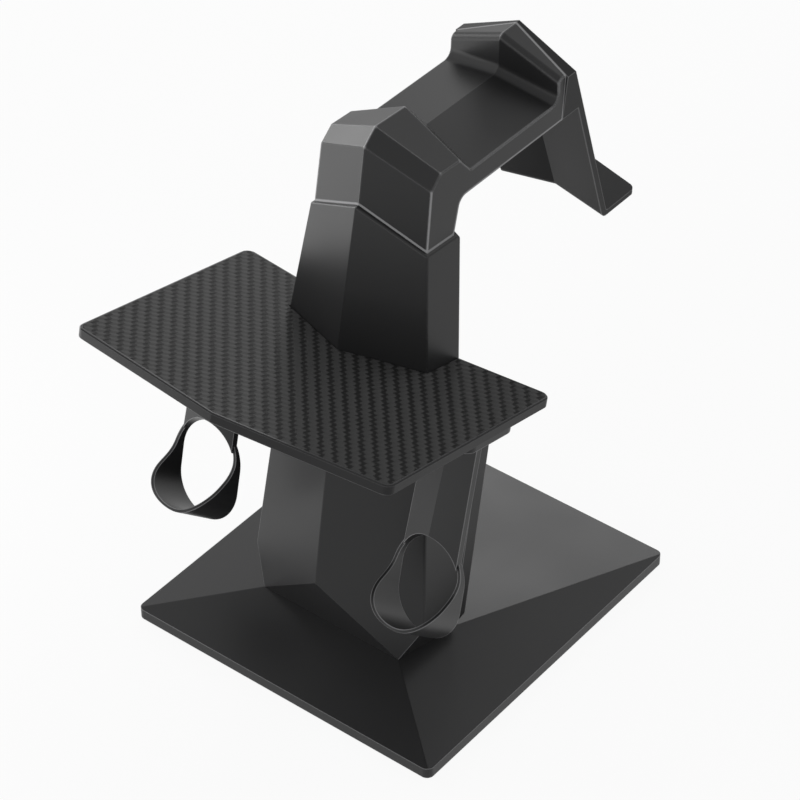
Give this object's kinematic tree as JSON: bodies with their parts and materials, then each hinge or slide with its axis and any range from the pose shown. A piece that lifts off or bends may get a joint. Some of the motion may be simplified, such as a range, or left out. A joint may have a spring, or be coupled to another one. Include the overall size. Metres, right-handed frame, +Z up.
{
  "type": "vr headset stand",
  "caption": "Desk stand with a faceted base and column, a tilted woven tray, hanging loops for hand controllers, and a saddle arm with a hanging panel for a headset.",
  "frame": {"origin": "on the table, at the centre of the stand's bounding box", "axes": "+Z up, +Y from the column towards the hanging panel, X across; the controller loops hang on the -Y side"},
  "size_m": [0.19, 0.298, 0.3063],
  "materials": {
    "stand_body": "satin charcoal moulding",
    "column_back_cover": "satin charcoal moulding",
    "base_plate": "matte black",
    "base_screws": "blackened steel",
    "rubber_feet": "soft matte black",
    "ballast_weight": "plain steel",
    "tray": "satin charcoal moulding",
    "tray_mat": "woven carbon look under satin lacquer",
    "upper_column": "satin charcoal moulding",
    "column_bolts": "blackened steel",
    "saddle_arm": "satin charcoal moulding",
    "arm_under_cover": "satin charcoal moulding",
    "arm_screws": "blackened steel",
    "head_screws": "blackened steel",
    "face_panel": "satin charcoal moulding",
    "panel_screws": "blackened steel",
    "left_loop": "satin charcoal moulding",
    "right_loop": "satin charcoal moulding",
    "loop_screws": "blackened steel"
  },
  "bodies": {
    "root": {"stand_body": "stand_body", "column_back_cover": "column_back_cover", "base_plate": "base_plate", "base_screws": "base_screws", "rubber_feet": "rubber_feet", "ballast_weight": "ballast_weight", "tray": "tray", "tray_mat": "tray_mat", "upper_column": "upper_column", "column_bolts": "column_bolts", "saddle_arm": "saddle_arm", "arm_under_cover": "arm_under_cover", "arm_screws": "arm_screws", "head_screws": "head_screws", "face_panel": "face_panel", "panel_screws": "panel_screws", "left_loop": "left_loop", "right_loop": "right_loop", "loop_screws": "loop_screws"}
  },
  "joints": []
}
